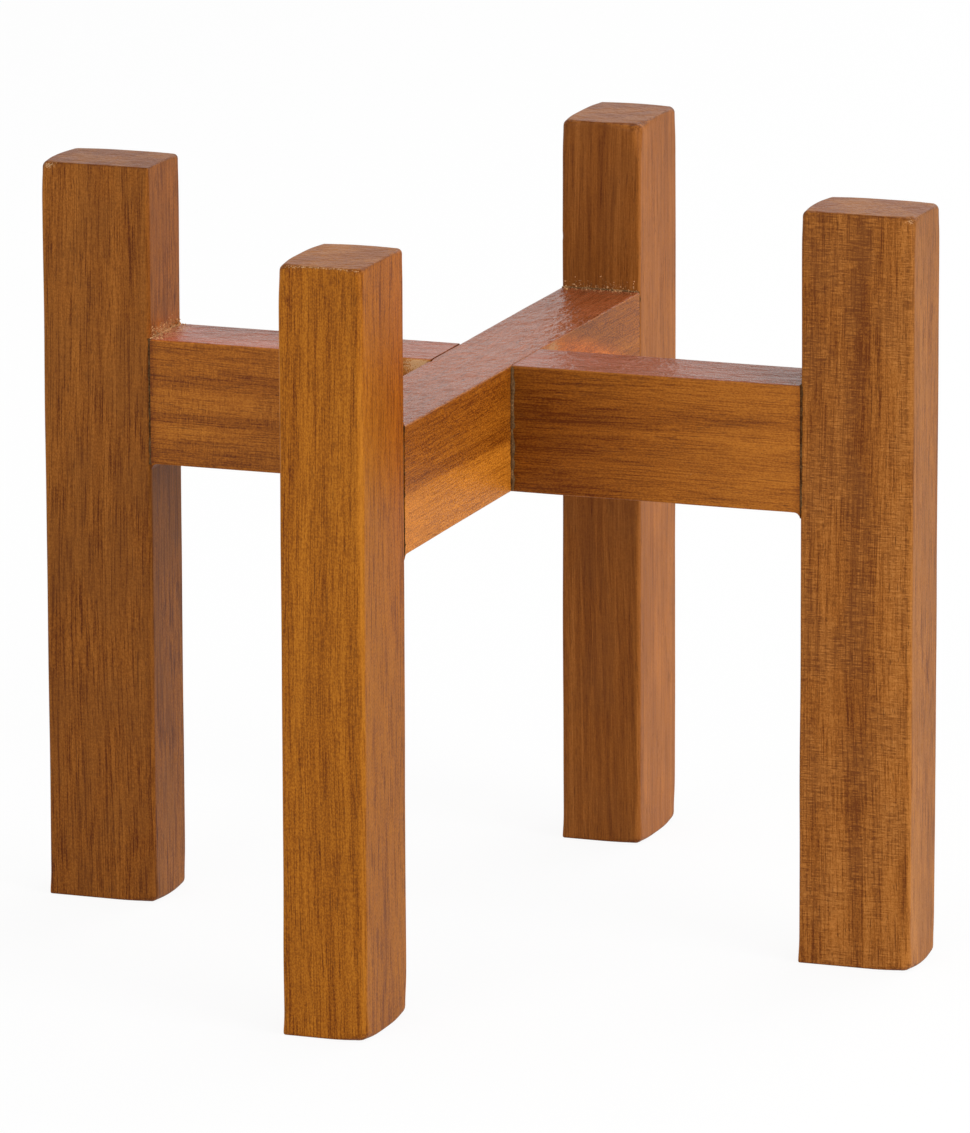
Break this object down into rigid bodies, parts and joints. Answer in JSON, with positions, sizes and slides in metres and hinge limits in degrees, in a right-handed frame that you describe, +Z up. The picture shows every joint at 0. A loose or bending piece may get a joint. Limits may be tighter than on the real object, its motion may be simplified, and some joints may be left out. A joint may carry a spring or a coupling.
{
  "type": "pot stand pedestal",
  "caption": "Low wooden pedestal for a plant pot: upright oblong legs at the ends of a level halved cross, which carries the pot while the leg tops keep it in place.",
  "frame": {"origin": "on the floor, under the middle of the cross", "axes": "+X along the lower crossbar towards leg_right, +Y along the upper crossbar from leg_front to leg_back, +Z up"},
  "size_m": [0.3, 0.3, 0.248],
  "materials": {
    "leg_wood": "sanded straight-grained hardwood, oiled satin",
    "bar_wood": "sanded straight-grained hardwood, oiled satin",
    "dowel_wood": "raw pale hardwood"
  },
  "bodies": {
    "root": {"leg_right": "leg_wood", "leg_back": "leg_wood", "leg_left": "leg_wood", "leg_front": "leg_wood", "crossbar_lower": "bar_wood", "crossbar_upper": "bar_wood", "dowel_right_top": "dowel_wood", "dowel_right_bottom": "dowel_wood", "dowel_back_top": "dowel_wood", "dowel_back_bottom": "dowel_wood", "dowel_left_top": "dowel_wood", "dowel_left_bottom": "dowel_wood", "dowel_front_top": "dowel_wood", "dowel_front_bottom": "dowel_wood"}
  },
  "joints": []
}
